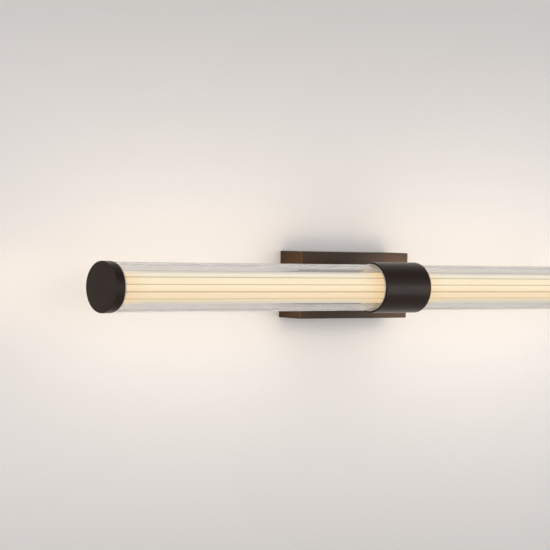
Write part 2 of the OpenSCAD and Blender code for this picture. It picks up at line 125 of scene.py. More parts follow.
def lathe(bm, rings, steps=STEPS, axis="X", at=AXIS, side=1, closed=False):
    """Adds a turned shape. A ring is (along, radius, edge), each a number or a function of the angle, and
    angle 0 faces -Y on an X axis. closed joins the last ring to the first one."""
    layer = edge_layer(bm)
    loops = []
    for along, radius, edge in rings:
        loop = []
        pole = not callable(radius) and radius == 0
        for step in range(1 if pole else steps):
            angle = FULL_TURN * step / steps
            a = side * value_at(along, angle)
            r = value_at(radius, angle)
            if axis == "X":
                place = Vector((a, -r * math.cos(angle), r * math.sin(angle)))
            else:
                place = Vector((r * math.cos(angle), a, r * math.sin(angle)))
            vert = bm.verts.new(place + Vector(at))
            vert[layer] = value_at(edge, angle)
            loop.append(vert)
        loops.append(loop)
    pairs = list(zip(loops, loops[1:]))
    if closed:
        pairs.append((loops[-1], loops[0]))
    for first, second in pairs:
        for step in range(steps):
            after = (step + 1) % steps
            if len(first) == 1:
                bm.faces.new((first[0], second[step], second[after]))
            elif len(second) == 1:
                bm.faces.new((first[step], second[0], first[after]))
            else:
                bm.faces.new((first[step], second[step], second[after], first[after]))


def rounded(points, closed=False):
    """A profile with arcs at its corners. A point is (along, radius, rounding); the result is rings."""
    rings = []
    count = len(points)
    for i, (x, r, rounding) in enumerate(points):
        ends = not closed and i in (0, count - 1)
        if ends or rounding == 0:
            rings.append((x, r, 0.0))
            continue
        here = Vector((x, r))
        before = (Vector(points[i - 1][:2]) - here).normalized()
        after = (Vector(points[(i + 1) % count][:2]) - here).normalized()
        half = before.angle(after) / 2
        reach = rounding / math.tan(half)
        centre = here + (before + after).normalized() * (rounding / math.sin(half))
        start = here + before * reach - centre
        stop = here + after * reach - centre
        span = start.angle_signed(stop)
        for k in range(ARC_STEPS + 1):
            turn = Matrix.Rotation(-span * k / ARC_STEPS, 2)
            spot = centre + turn @ start
            rings.append((spot.x, spot.y, TURNED_WEAR_AND_SHEEN if 0 < k < ARC_STEPS else 0.0))
    return rings


def square_profile(start, end, inner, outer, inner_ease, outer_ease):
    """Points for rounded(): a rectangle between two places and two radii, with a rounding for each radius."""
    return [
        (start, inner, inner_ease),
        (start, outer, outer_ease),
        (end, outer, outer_ease),
        (end, inner, inner_ease),
    ]


def quarter_turn(steps=ARC_STEPS):
    """Pairs of a sine and a cosine from 0 to 90 degrees."""
    turns = [math.pi / 2 * k / steps for k in range(steps + 1)]
    return [(math.sin(turn), math.cos(turn)) for turn in turns]


def hexagon(across_flats):
    """The radius of a hexagon at an angle."""
    def radius(angle):
        return across_flats / 2 / math.cos((angle + math.pi / 6) % (math.pi / 3) - math.pi / 6)
    return radius


def thread_rings(start, end, radius, pitch, depth):
    """Rings of a helical thread with flat crests and roots, which runs out over a third turn at its ends."""
    per_turn = 12
    run_out = per_turn / 3
    steepness, crest_shift = 1.5, 0.25
    count = round(abs(end - start) / pitch * per_turn)
    rings = []
    for k in range(count + 1):
        along = start + (end - start) * k / count
        cut = depth * min(1, k / run_out, (count - k) / run_out)

        def crest(angle, along=along, cut=cut):
            flank = abs(2 * ((along / pitch - angle / FULL_TURN) % 1) - 1)
            return radius - cut * min(1, max(0, steepness * flank - crest_shift))

        rings.append((along, crest, 0.0))
    return rings


def socket_screw(bm, base, reach, head_r, head_h, axis, at, side):
    """A screw with a low rounded head and a hexagon socket; base is where its head sits."""
    top = base + head_h
    socket_floor = top - SOCKET_DEPTH
    socket = hexagon(SOCKET_AF)
    socket_rim = SOCKET_AF * 0.68
    rim_depth, drill_depth = 0.1 * MM, 0.25 * MM
    tip_round, foot_round, head_round = 0.4 * MM, 0.15 * MM, 0.9 * MM
    outside = [
        (base - reach, 0, 0),
        (base - reach, SCREW_R, tip_round),
        (base, SCREW_R, 0),
        (base, head_r, foot_round),
        (top, head_r, head_round),
        (top, socket_rim, 0),
    ]
    inside = [
        (top - rim_depth, socket, 0.0),
        (socket_floor, socket, 0.0),
        (socket_floor - drill_depth, 0, 0.0),
    ]
    lathe(bm, rounded(outside) + inside, steps=48, axis=axis, at=at, side=side)


def as_piece(bm, name, material, nodes, body="root", sharp=SHARP_DEGREES):
    """Turns a bmesh into a shaded object that rides on a body and stands for CAD nodes."""
    bmesh.ops.recalc_face_normals(bm, faces=bm.faces)
    limit = math.radians(sharp)
    for face in bm.faces:
        face.smooth = True
    for edge in bm.edges:
        edge.smooth = len(edge.link_faces) != 2 or edge.calc_face_angle(0) < limit
    mesh = bpy.data.meshes.new(name)
    bm.to_mesh(mesh)
    bm.free()
    mesh.materials.append(material)
    piece = bpy.data.objects.new(name, mesh)
    bpy.context.scene.collection.objects.link(piece)
    weighted = piece.modifiers.new("Even normals", "WEIGHTED_NORMAL")
    weighted.keep_sharp = True
    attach(piece, body)
    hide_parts(*nodes)
    return piece


def node_copy(node):
    """A copy of a CAD node's mesh with its doubled points merged."""
    bm = bmesh.new()
    bm.from_mesh(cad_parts[node].data)
    bmesh.ops.remove_doubles(bm, verts=bm.verts, dist=SAME_POINT)
    return bm


def join_flat_faces(bm):
    """Makes one face of the triangles that lie in one plane."""
    bmesh.ops.dissolve_limit(bm, angle_limit=FLAT_ANGLE, verts=bm.verts, edges=bm.edges)


def refined(node, material, bevel):
    """A copy of a CAD node's shape with small rounded edges, which stands for the node."""
    bm = node_copy(node)
    join_flat_faces(bm)
    layer = edge_layer(bm)
    if bevel:
        limit = math.radians(SHARP_DEGREES)
        corners = [e for e in bm.edges if len(e.link_faces) == 2 and e.calc_face_angle(0) > limit]
        made = bmesh.ops.bevel(
            bm, geom=corners, offset=bevel, segments=2, profile=0.5, affect="EDGES", clamp_overlap=True
        )
        for vert in made["verts"]:
            vert[layer] = 1.0
    return as_piece(bm, node + "_shown", material, [node])


# Materials


def add(tree, kind, inputs=None, **settings):
    """Adds a shader node. inputs maps a socket's name or number to a value or to another node's output."""
    node = tree.nodes.new("ShaderNode" + kind)
    for key, value in settings.items():
        setattr(node, key, value)
    for key, value in (inputs or {}).items():
        if isinstance(value, bpy.types.NodeSocket):
            tree.links.new(value, node.inputs[key])
        else:
            node.inputs[key].default_value = value
    return node


def new_material(name):
    """An empty node material with its Principled shader."""
    material = bpy.data.materials.new(name)
    material.use_nodes = True
    tree = material.node_tree
    return material, tree, tree.nodes["Principled BSDF"]


def place(tree, stretch=(1, 1, 1)):
    """Object coordinates in metres, stretched."""
    coordinates = add(tree, "TexCoord").outputs["Object"]
    return add(tree, "Mapping", {"Vector": coordinates, "Scale": stretch}).outputs["Vector"]


def noise(tree, scale, detail=3.0, stretch=(1, 1, 1), roughness=0.5):
    """Fractal noise; scale is the number of features in a metre."""
    inputs = {"Vector": place(tree, stretch), "Scale": scale, "Detail": detail, "Roughness": roughness}
    return add(tree, "TexNoise", inputs).outputs["Fac"]


def between(tree, factor, low, high, from_low=0.3, from_high=0.7):
    """Low up to from_low, high from from_high on, and even steps in between."""
    inputs = {"Value": factor, "From Min": from_low, "From Max": from_high, "To Min": low, "To Max": high}
    return add(tree, "MapRange", inputs).outputs["Result"]


def blend_colours(tree, factor, first, second):
    """Mixes two colours."""
    node = add(tree, "Mix", {"Factor": factor}, data_type="RGBA")
    for key, colour in ((6, first), (7, second)):
        if isinstance(colour, bpy.types.NodeSocket):
            tree.links.new(colour, node.inputs[key])
        else:
            node.inputs[key].default_value = colour
    return node.outputs[2]


def bump(tree, height, distance):
    """A bump from a height of 0 to 1 that stands distance metres high."""
    return add(tree, "Bump", {"Height": height, "Distance": distance, "Strength": 1.0}).outputs["Normal"]


def times(tree, first, second):
    """The product of two numbers."""
    return add(tree, "Math", {0: first, 1: second}, operation="MULTIPLY").outputs[0]


def size_of(tree, number):
    """A number without its sign."""
    return add(tree, "Math", {0: number}, operation="ABSOLUTE").outputs[0]


def finish_surface(tree, shader, colour, roughness, height, distance):
    """Links a colour, a roughness and a bump to the shader."""
    tree.links.new(colour, shader.inputs["Base Color"])
    tree.links.new(roughness, shader.inputs["Roughness"])
    tree.links.new(bump(tree, height, distance), shader.inputs["Normal"])


def bronze_finish(name, body_low, body_high, gloss, rough):
    """Satin dark bronze coat: fine orange peel, faint cloudiness, and edges worn to a warmer tone, which is
    also a painted highlight along them.
    """
    material, tree, shader = new_material(name)
    cloud = noise(tree, scale=45, detail=4)
    grain = noise(tree, scale=2600, detail=2)
    body = blend_colours(tree, between(tree, cloud, 0, 1), body_low, body_high)
    # Warm edges: worn bronze and a painted highlight along rounded edges
    edge = add(tree, "Attribute", attribute_name="edge").outputs["Fac"]
    wear_and_sheen = times(tree, edge, between(tree, noise(tree, scale=160), 0.25, 0.9))
    colour = blend_colours(tree, wear_and_sheen, body, srgb(92, 72, 54))
    roughness = between(tree, noise(tree, scale=300), rough - 0.03, rough + 0.04)
    finish_surface(tree, shader, colour, roughness, grain, 0.012 * MM)
    shader.inputs["Specular IOR Level"].default_value = gloss
    return material


def metal_finish(name, colour, dark, rough, stretch, scale, height):
    """Bare metal with faint stains and a fine grain, which stretch can draw out into brushed lines."""
    material, tree, shader = new_material(name)
    lines = noise(tree, scale, detail=4, stretch=stretch, roughness=0.6)
    stain = noise(tree, scale=60, detail=4)
    stained = blend_colours(tree, between(tree, stain, 0, 1), colour, dark)
    roughness = between(tree, lines, rough - 0.06, rough + 0.08)
    finish_surface(tree, shader, stained, roughness, lines, height)
    shader.inputs["Metallic"].default_value = 1.0
    return material


def plastic_finish(name, colour, dark, rough, grain_scale=1800, grain_height=0.006 * MM):
    """Moulded plastic with a fine spark-eroded grain."""
    material, tree, shader = new_material(name)
    cloud = noise(tree, scale=80)
    grain = noise(tree, grain_scale, detail=2)
    clouded = blend_colours(tree, between(tree, cloud, 0, 1), colour, dark)
    roughness = between(tree, grain, rough - 0.05, rough + 0.07)
    finish_surface(tree, shader, clouded, roughness, grain, grain_height)
    return material


def glass_finish():
    """Slightly hazy glass that greys with the length of the path in it. Each valley in front of the lit core
    holds a painted shade line, which is faintest at the bottom and a little fainter above the middle."""
    material, tree, shader = new_material("ribbed_glass")
    clear, valley_shade = (0.985, 0.985, 0.98, 1), (0.08, 0.05, 0.025, 1)
    core_edge, bottom, middle = (12 * MM, 15 * MM), (-8 * MM, -4 * MM), (-2 * MM, 2 * MM)
    draw_lines = noise(tree, scale=400, detail=2, stretch=(0.01, 1, 1))
    tree.links.new(between(tree, draw_lines, 0.0, 0.008), shader.inputs["Roughness"])
    valley = add(tree, "Attribute", attribute_name="edge").outputs["Fac"]
    rise = add(tree, "SeparateXYZ", {0: place(tree)}).outputs[2]
    in_core = between(tree, size_of(tree, rise), 1, 0.04, *core_edge)
    lowest = between(tree, rise, 0.5, 1, *bottom)
    upper = between(tree, rise, 1, 0.85, *middle)
    # Painted shade: dark lines in the valleys stand in for the ribs' refraction
    line = valley
    for strength in (in_core, lowest, upper):
        line = times(tree, line, strength)
    tree.links.new(blend_colours(tree, line, clear, valley_shade), shader.inputs["Base Color"])
    shader.inputs["Transmission Weight"].default_value = 0.88
    shader.inputs["IOR"].default_value = 1.42
    absorbed = add(tree, "VolumeAbsorption", {"Color": (0.80, 0.80, 0.82, 1), "Density": 88.0})
    tree.links.new(absorbed.outputs[0], tree.nodes["Material Output"].inputs["Volume"])
    return material


def diffuser_finish():
    """Frosted acrylic, lit from inside. The glow pales from the underside to the top, dims toward both edges,
    holds one streak near the top and turns amber at the hub and at the plug."""
    material, tree, shader = new_material("lit_diffuser")
    low_glow, high_glow = (1.0, 0.70, 0.35, 1), (0.98, 0.82, 0.49, 1)
    low_rim, high_rim = (0.76, 0.64, 0.39, 1), (0.76, 0.66, 0.49, 1)
    low_edge, high_edge = (0.65, 0.58, 0.47, 1), (0.50, 0.45, 0.36, 1)
    streak_glow, amber = (0.93, 0.82, 0.66, 1), (0.95, 0.64, 0.28, 1)
    most_of_rise, middle = (-8 * MM, 8 * MM), (-2 * MM, 2 * MM)
    rim_part, edge_part = (6.5 * MM, DIFFUSER_R), (10.6 * MM, 11.2 * MM)
    streak_start, streak_end = (9.1 * MM, 9.6 * MM), (10.1 * MM, 10.6 * MM)
    hub_end = (collar_high.x - 3 * MM, collar_high.x + 26 * MM)
    plug_end = (glass_high.x - 30 * MM, glass_high.x)
    sparkle = noise(tree, scale=900, detail=2)
    drift = noise(tree, scale=22, detail=2, stretch=(0.35, 1, 1))
    along, _, rise = add(tree, "SeparateXYZ", {0: place(tree)}).outputs
    pale = add(tree, "Math", {0: between(tree, rise, 0, 0.9, *most_of_rise), 1: drift}, operation="ADD")
    pale = between(tree, pale.outputs[0], 0, 1, 0.4, 1.4)
    glow = blend_colours(tree, pale, low_glow, high_glow)
    off_level = size_of(tree, rise)
    toward_edge = between(tree, off_level, 0, 1, *rim_part)
    upper_side = between(tree, rise, 0, 1, *middle)
    rim = blend_colours(tree, upper_side, low_rim, high_rim)
    glow = blend_colours(tree, toward_edge, glow, rim)
    last_edge = between(tree, off_level, 0, 1, *edge_part)
    edge = blend_colours(tree, upper_side, low_edge, high_edge)
    glow = blend_colours(tree, last_edge, glow, edge)
    streak_in = between(tree, rise, 0, 1, *streak_start)
    streak_out = between(tree, rise, 1, 0, *streak_end)
    glow = blend_colours(tree, times(tree, streak_in, streak_out), glow, streak_glow)
    from_middle = size_of(tree, along)
    from_hub = between(tree, from_middle, 0, 1, *hub_end)
    from_plug = between(tree, from_middle, 1, 0, *plug_end)
    glow = blend_colours(tree, times(tree, from_hub, from_plug), amber, glow)
    tree.links.new(glow, shader.inputs["Emission Color"])
    shader.inputs["Emission Strength"].default_value = 1.0
    shader.inputs["Base Color"].default_value = (0.22, 0.21, 0.19, 1)
    tree.links.new(between(tree, sparkle, 0.42, 0.55), shader.inputs["Roughness"])
    tree.links.new(bump(tree, sparkle, 0.004 * MM), shader.inputs["Normal"])
    return material


def silicone_finish():
    """Translucent silicone."""
    material, tree, shader = new_material("clear_silicone")
    cloud = noise(tree, scale=500)
    colour = blend_colours(tree, between(tree, cloud, 0, 1), (0.80, 0.83, 0.77, 1), (0.90, 0.92, 0.87, 1))
    tree.links.new(colour, shader.inputs["Base Color"])
    tree.links.new(between(tree, cloud, 0.25, 0.38), shader.inputs["Roughness"])
    shader.inputs["Transmission Weight"].default_value = 0.45
    shader.inputs["IOR"].default_value = 1.41
    return material


def foam_finish():
    """Dark closed-cell foam tape."""
    material, tree, shader = new_material("foam_pad")
    cells = add(tree, "TexVoronoi", {"Vector": place(tree), "Scale": 2600.0}).outputs["Distance"]
    colour = blend_colours(tree, cells, (0.06, 0.06, 0.065, 1), (0.13, 0.13, 0.135, 1))
    tree.links.new(colour, shader.inputs["Base Color"])
    tree.links.new(bump(tree, cells, 0.05 * MM), shader.inputs["Normal"])
    shader.inputs["Roughness"].default_value = 0.9
    return material


def led_finish():
    """Yellow phosphor domes in white packages, lit."""
    material, tree, shader = new_material("led_phosphor")
    cloud = noise(tree, scale=1500, detail=2)
    colour = blend_colours(tree, between(tree, cloud, 0, 1), (0.93, 0.72, 0.20, 1), (0.96, 0.80, 0.32, 1))
    tree.links.new(colour, shader.inputs["Base Color"])
    shader.inputs["Emission Color"].default_value = (1.0, 0.78, 0.48, 1)
    shader.inputs["Emission Strength"].default_value = 1.0
    shader.inputs["Roughness"].default_value = 0.35
    return material


bronze = bronze_finish("dark_bronze_coat", srgb(31, 17, 10), srgb(36, 20, 13), gloss=0.195, rough=0.32)
sheet_bronze = bronze_finish("dark_bronze_sheet", srgb(31, 20, 12), srgb(35, 23, 15), gloss=0.25, rough=0.45)

# Stretch of a metal's grain: none, or turned lines round the light's axis
EVEN = (1, 1, 1)
TURNED = (1, 0.05, 0.05)
zinc = metal_finish(
    "zinc_plate", (0.62, 0.62, 0.60, 1), (0.50, 0.51, 0.50, 1), 0.34, EVEN, scale=350, height=0.004 * MM
)
green_steel = metal_finish(
    "green_steel", (0.05, 0.30, 0.11, 1), (0.03, 0.22, 0.08, 1), 0.36, EVEN, scale=400, height=0.003 * MM
)
aluminium = metal_finish(
    "aluminium", (0.72, 0.72, 0.73, 1), (0.62, 0.62, 0.63, 1), 0.32, TURNED, scale=900, height=0.004 * MM
)
clear_glass = glass_finish()
lit = diffuser_finish()
silicone = silicone_finish()
board_white = plastic_finish("board_white", (0.86, 0.86, 0.84, 1), (0.80, 0.80, 0.78, 1), 0.45)
phosphor = led_finish()
driver_white = plastic_finish("driver_housing", (0.74, 0.74, 0.72, 1), (0.68, 0.68, 0.66, 1), 0.42)
block_grey = plastic_finish("terminal_plastic", (0.30, 0.32, 0.34, 1), (0.26, 0.28, 0.30, 1), 0.45)
foam = foam_finish()
LEAD_COLOURS = {
    "lead_black": ((0.022, 0.022, 0.023, 1), (0.03, 0.03, 0.03, 1)),
    "lead_white": ((0.78, 0.78, 0.75, 1), (0.70, 0.70, 0.68, 1)),
    "lead_grey": ((0.20, 0.20, 0.21, 1), (0.24, 0.24, 0.25, 1)),
    "lead_green": ((0.03, 0.26, 0.09, 1), (0.04, 0.32, 0.11, 1)),
}
lead_finishes = {
    name: plastic_finish(name, colour, dark, 0.3, grain_scale=1200, grain_height=0.002 * MM)
    for name, (colour, dark) in LEAD_COLOURS.items()
}


# Pieces


def rib_radius(angle):
    """Outer radius of the ribbed glass: arcs that meet in blended valleys."""
    valley_r = GLASS_R - RIB_DEPTH
    centre = (GLASS_R**2 - valley_r**2) / (2 * (GLASS_R - valley_r * math.cos(RIB_PITCH / 2)))
    arc_r = GLASS_R - centre
    off = (angle + RIB_PITCH / 2) % RIB_PITCH - RIB_PITCH / 2

    def arc(turn):
        return centre * math.cos(turn) + math.sqrt(arc_r**2 - (centre * math.sin(turn)) ** 2)

    here = arc(off)
    beside = arc(RIB_PITCH - abs(off))
    return here + VALLEY_BLEND * math.log1p(math.exp((beside - here) / VALLEY_BLEND))


def valley_line(angle):
    """1 in the valley between two ribs and 0 from VALLEY_STEPS mesh steps away; on the glass it places the
    painted shade lines.
    """
    off = abs(angle % RIB_PITCH - RIB_PITCH / 2)
    return max(0.0, 1 - off / (VALLEY_STEPS * RIB_PITCH / RIB_STEPS))


def glass_tube(name, side):
    """Thick tube with fire-polished ends; angle 0 is the crest that faces the room."""
    start, end = glass_low.x, glass_high.x
    bore = GLASS_R - GLASS_WALL
    polish = 0.5 * MM

    def ribs(drop):
        return lambda angle: rib_radius(angle) - drop

    curve = quarter_turn()
    rings = [(start + polish * (1 - c), ribs(polish * (1 - s)), valley_line) for s, c in curve]
    rings += [(end - polish * (1 - s), ribs(polish * (1 - c)), valley_line) for s, c in curve]
    rings += [(end - polish * (1 - c), bore + polish * (1 - s), 0.0) for s, c in curve]
    rings += [(start + polish * (1 - s), bore + polish * (1 - c), 0.0) for s, c in curve]
    bm = bmesh.new()
    lathe(bm, rings, steps=RIB_COUNT * RIB_STEPS, side=side, closed=True)
    piece = as_piece(bm, name, clear_glass, [name])
    piece.visible_shadow = False
    piece.visible_diffuse = False
    return piece


def turned_ring(name, points, material, side=1, body="root", steps=STEPS):
    """A closed turned profile on the light's axis, such as the collar or a gasket."""
    bm = bmesh.new()
    lathe(bm, rounded(points, closed=True), steps=steps, side=side, closed=True)
    return as_piece(bm, name + "_shown", material, [name], body)


def centre_collar():
    """Turned tube that holds both halves."""
    half = collar_high.x
    bore_ease = 0.25 * MM
    points = square_profile(-half, half, COLLAR_BORE_R, COLLAR_R, bore_ease, COLLAR_ROUND)
    return turned_ring("centre_collar", points, bronze, steps=FINE_STEPS)


def diffuser(name, side):
    """Frosted tube that the LEDs light from inside."""
    low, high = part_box("right_diffuser")
    ease = 0.2 * MM
    points = square_profile(low.x, high.x, DIFFUSER_R - DIFFUSER_WALL, DIFFUSER_R, ease, ease)
    return turned_ring(name, points, lit, side=side)


def seat_gasket(name, side):
    """Ring with a lip round the glass and a pad that the glass stands on."""
    low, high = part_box("right_seat_gasket")
    pad_end = glass_low.x
    lip_in = GLASS_R + CLEARANCE
    pad_in = GLASS_R - GLASS_WALL - 1.0 * MM
    out = high.z
    ease = 0.12 * MM
    points = [
        (low.x, pad_in, ease),
        (low.x, out, ease),
        (high.x, out, ease),
        (high.x, lip_in, ease),
        (pad_end, lip_in, 0),
        (pad_end, pad_in, ease),
    ]
    return turned_ring(name, points, silicone, side=side)


def cap_gasket(name, side, body):
    """Ring in the cap's groove that presses on the end of the glass."""
    low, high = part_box("right_cap_gasket")
    inner = GLASS_R - GLASS_WALL + 0.3 * MM
    ease = 0.25 * MM
    points = square_profile(low.x, high.x, inner, high.z, ease, ease)
    return turned_ring(name, points, silicone, side=side, body=body)


def end_cap(name, side, body):
    """Thick disc with a groove for its gasket and a blind hole for the stud in its inner face."""
    inner_x, outer_x = cap_low.x, cap_high.x
    hole_r, hole_depth, mouth_round = 4.05 * MM, 6.8 * MM, 0.3 * MM
    groove_depth, groove_inset = 0.8 * MM, 0.2 * MM
    groove_in = GLASS_R - GLASS_WALL + groove_inset
    groove_out = GLASS_R - groove_inset
    points = [
        (inner_x + hole_depth, 0, 0),
        (inner_x + hole_depth, hole_r, 0),
        (inner_x, hole_r, mouth_round),
        (inner_x, groove_in, 0),
        (inner_x + groove_depth, groove_in, 0),
        (inner_x + groove_depth, groove_out, 0),
        (inner_x, groove_out, 0),
        (inner_x, CAP_R, CAP_ROUND),
        (outer_x, CAP_R, CAP_ROUND),
        (outer_x, 0, 0),
    ]
    bm = bmesh.new()
    lathe(bm, rounded(points), steps=FINE_STEPS, side=side)
    return as_piece(bm, name + "_shown", bronze, [name], body)


def stem():
    """Tube from the plate to the collar, with its end cut to the collar's round."""
    foot = plate_low.y
    bore = STEM_R - 1.5 * MM
    ease = 0.3 * MM
    arc_middle = ease * 0.3

    def saddle(radius, lift):
        def along(angle):
            return AXIS_Y + math.sqrt((COLLAR_R + CLEARANCE) ** 2 - (radius * math.sin(angle)) ** 2) + lift
        return along

    rings = [
        (foot, bore, 0.0),
        (foot, STEM_R - ease, 0.0),
        (foot - arc_middle, STEM_R - arc_middle, 1.0),
        (foot - ease, STEM_R, 0.0),
        (saddle(STEM_R, ease), STEM_R, 0.0),
        (saddle(STEM_R - arc_middle, arc_middle), STEM_R - arc_middle, 1.0),
        (saddle(STEM_R - ease, 0), STEM_R - ease, 0.0),
        (saddle(bore, 0), bore, 0.0),
    ]
    bm = bmesh.new()
    lathe(bm, rings, axis="Y", at=(0, 0, 0), closed=True)
    return as_piece(bm, "stem_shown", bronze, ["stem"])


def rectangle_ring(half_w, half_h, corner, middle=0):
    """Points of a rounded rectangle in the XZ plane, round a middle on the X axis."""
    points = []
    arc = 6
    for quarter, (right, up) in enumerate(((1, 1), (-1, 1), (-1, -1), (1, -1))):
        for k in range(arc + 1):
            angle = math.pi / 2 * (quarter + k / arc)
            x = middle + right * (half_w - corner) + corner * math.cos(angle)
            z = up * (half_h - corner) + corner * math.sin(angle)
            points.append((x, z))
    return points


def loft(bm, rings):
    """Joins rings of points. A ring is (y, points, edge). The first and the last ring get a face each."""
    layer = edge_layer(bm)
    loops = []
    for y, points, edge in rings:
        loop = [bm.verts.new((x, y, z)) for x, z in points]
        for vert in loop:
            vert[layer] = edge
        loops.append(loop)
    for first, second in zip(loops, loops[1:]):
        for i in range(len(first)):
            j = (i + 1) % len(first)
            bm.faces.new((first[i], first[j], second[j], second[i]))
    bm.faces.new(loops[0])
    bm.faces.new(loops[-1])


def back_plate():
    """Folded sheet box with small outside radii, open at the wall."""
    half_w, half_h = plate_high.x, plate_high.z
    front, back = plate_low.y, plate_high.y
    fold = 0.9 * MM
    corner = 0.8 * MM
    rim_corner, inner_corner = corner * 0.4, corner * 0.3
    ease = 0.2 * MM
    inset = 6 * MM
    rings = [(front, rectangle_ring(half_w - inset, half_h - inset, corner), 0.0)]
    for k, (sine, cosine) in enumerate(quarter_turn()):
        shrink = fold * (1 - sine)
        y = front + fold * (1 - cosine)
        edge = FOLD_WEAR_AND_SHEEN if 0 < k < ARC_STEPS else 0.0
        rings.append((y, rectangle_ring(half_w - shrink, half_h - shrink, corner), edge))
    rings.append((back - ease, rectangle_ring(half_w, half_h, corner), 0.0))
    rings.append((back, rectangle_ring(half_w - ease, half_h - ease, corner), 1.0))
    inner_w, inner_h = half_w - PLATE_WALL, half_h - PLATE_WALL
    rings.append((back, rectangle_ring(inner_w + ease, inner_h + ease, rim_corner), 1.0))
    rings.append((back - ease, rectangle_ring(inner_w, inner_h, inner_corner), 0.0))
    rings.append((front + PLATE_WALL, rectangle_ring(inner_w, inner_h, inner_corner), 0.0))
    bm = bmesh.new()
    loft(bm, rings)
    return as_piece(bm, "back_plate_shown", sheet_bronze, ["back_plate"], sharp=40)


def plate_screws():
    """One screw through each end wall of the plate."""
    low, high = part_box("plate_screws")
    at = (0, (low.y + high.y) / 2, 0)
    reach = 5.0 * MM
    bm = bmesh.new()
    for side in SIDES.values():
        socket_screw(bm, plate_high.x, reach, high.z, high.x - plate_high.x, "X", at, side)
    return as_piece(bm, "plate_screws_shown", bronze, ["plate_screws"])


def ground_screw():
    """Green screw that holds the ground lead's ring on the bracket."""
    low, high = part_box("ground_screw")
    head_h = 2.0 * MM
    at = ((low.x + high.x) / 2, 0, 0)
    bm = bmesh.new()
    base = -low.y - head_h
    socket_screw(bm, base, high.y + base, high.z, head_h, "Y", at, -1)
    return as_piece(bm, "ground_screw_shown", green_steel, ["ground_screw"])


def ground_lead():
    """Green lead in a crimped ring terminal."""
    low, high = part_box("ground_lead")
    ring_r = high.z
    ring_x = low.x + ring_r
    run_y = high.y - LEAD_R
    end_x = high.x - LEAD_R
    bend = 5.0 * MM
    barrel_end = end_x - bend
    ease, crimp_round = 0.1 * MM, 0.2 * MM
    neck_start, neck_end = ring_x + ring_r - 0.3 * MM, ring_x + ring_r + 0.5 * MM
    neck_r, sleeve_r = LEAD_R * 0.6, LEAD_R * 0.96
    overlap = 0.4 * MM
    bend_steps = 12
    eye = square_profile(high.y - RING_T, high.y, SCREW_R + CLEARANCE, ring_r, ease, ease)
    bm = bmesh.new()
    lathe(bm, rounded(eye, closed=True), steps=64, axis="Y", at=(ring_x, 0, 0), closed=True)
    crimp = [
        (neck_start, 0, 0),
        (neck_start, neck_r, crimp_round),
        (neck_end, LEAD_R, crimp_round),
        (barrel_end, LEAD_R, ease),
        (barrel_end, 0, 0),
    ]
    lathe(bm, rounded(crimp), steps=32, at=(0, run_y, 0))
    as_piece(bm, "ground_ring_shown", zinc, ["ground_lead"])
    centre = Vector((barrel_end, run_y - bend, 0))
    route = [Vector((barrel_end - overlap, run_y, 0))]
    for sine, cosine in quarter_turn(bend_steps):
        route.append(centre + bend * Vector((sine, cosine, 0)))
    route.append(Vector((end_x, low.y, 0)))
    bm = bmesh.new()
    sweep(bm, route, sleeve_r)
    return as_piece(bm, "ground_lead_shown", lead_finishes["lead_green"], ["ground_lead"])


def sweep(bm, route, radius):
    """A round bar along a route in the XY plane."""
    steps = 24
    up = Vector((0, 0, 1))
    loops = []
    for i, spot in enumerate(route):
        before = route[max(i - 1, 0)]
        after = route[min(i + 1, len(route) - 1)]
        along = (after - before).normalized()
        across = Vector((-along.y, along.x, 0))
        turns = [FULL_TURN * step / steps for step in range(steps)]
        loops.append([bm.verts.new(spot + radius * (math.cos(t) * across + math.sin(t) * up)) for t in turns])
    for first, second in zip(loops, loops[1:]):
        for step in range(steps):
            after = (step + 1) % steps
            bm.faces.new((first[step], first[after], second[after], second[step]))
    bm.faces.new(loops[0])
    bm.faces.new(loops[-1])


def nipple():
    """Threaded hollow tube; the thread is cut where the nut runs."""
    low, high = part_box("nipple")
    bore = 3.5 * MM
    bore_ease = 0.2 * MM
    ease = 0.35 * MM
    thread_depth = 0.5 * MM
    tip_r = high.z - 0.6 * MM
    thread_start = plate_low.y + PLATE_WALL
    rings = [(low.y, bore, 0.0), (low.y, high.z - ease, 0.0), (low.y + ease, high.z, 0.0)]
    rings += thread_rings(thread_start, high.y - ease, high.z, NIPPLE_PITCH, thread_depth)
    rings += [(high.y, tip_r, 0.0), (high.y, bore + bore_ease, 0.0), (high.y - bore_ease, bore, 0.0)]
    bm = bmesh.new()
    lathe(bm, rings, steps=64, axis="Y", at=(0, 0, 0), closed=True)
    return as_piece(bm, "nipple_shown", zinc, ["nipple"])


def nipple_nut():
    """Hexagon nut with both faces chamfered."""
    low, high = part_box("nipple_nut")
    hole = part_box("nipple")[1].z + CLEARANCE
    sink_depth, sink_r = 0.3 * MM, hole + 0.4 * MM
    flats = hexagon(NUT_AF)
    corner = NUT_AF / math.sqrt(3)
    washer_face = NUT_AF / 2 * 0.96
    chamfer = 0.8 * MM
    arc = 6
    rings = [(low.y + sink_depth, hole, 0.0), (low.y, sink_r, 0.0)]

    def cut_corners(along, k):
        limit = washer_face + (corner - washer_face) * k / arc
        return (along, lambda angle: min(flats(angle), limit), 0.0)

    for k in range(arc + 1):
        rings.append(cut_corners(low.y + chamfer * k / arc, k))
    for k in range(arc, -1, -1):
        rings.append(cut_corners(high.y - chamfer * k / arc, k))
    rings += [(high.y, sink_r, 0.0), (high.y - sink_depth, hole, 0.0)]
    bm = bmesh.new()
    lathe(bm, rings, steps=96, axis="Y", at=(0, 0, 0), closed=True)
    return as_piece(bm, "nipple_nut_shown", zinc, ["nipple_nut"], sharp=25)


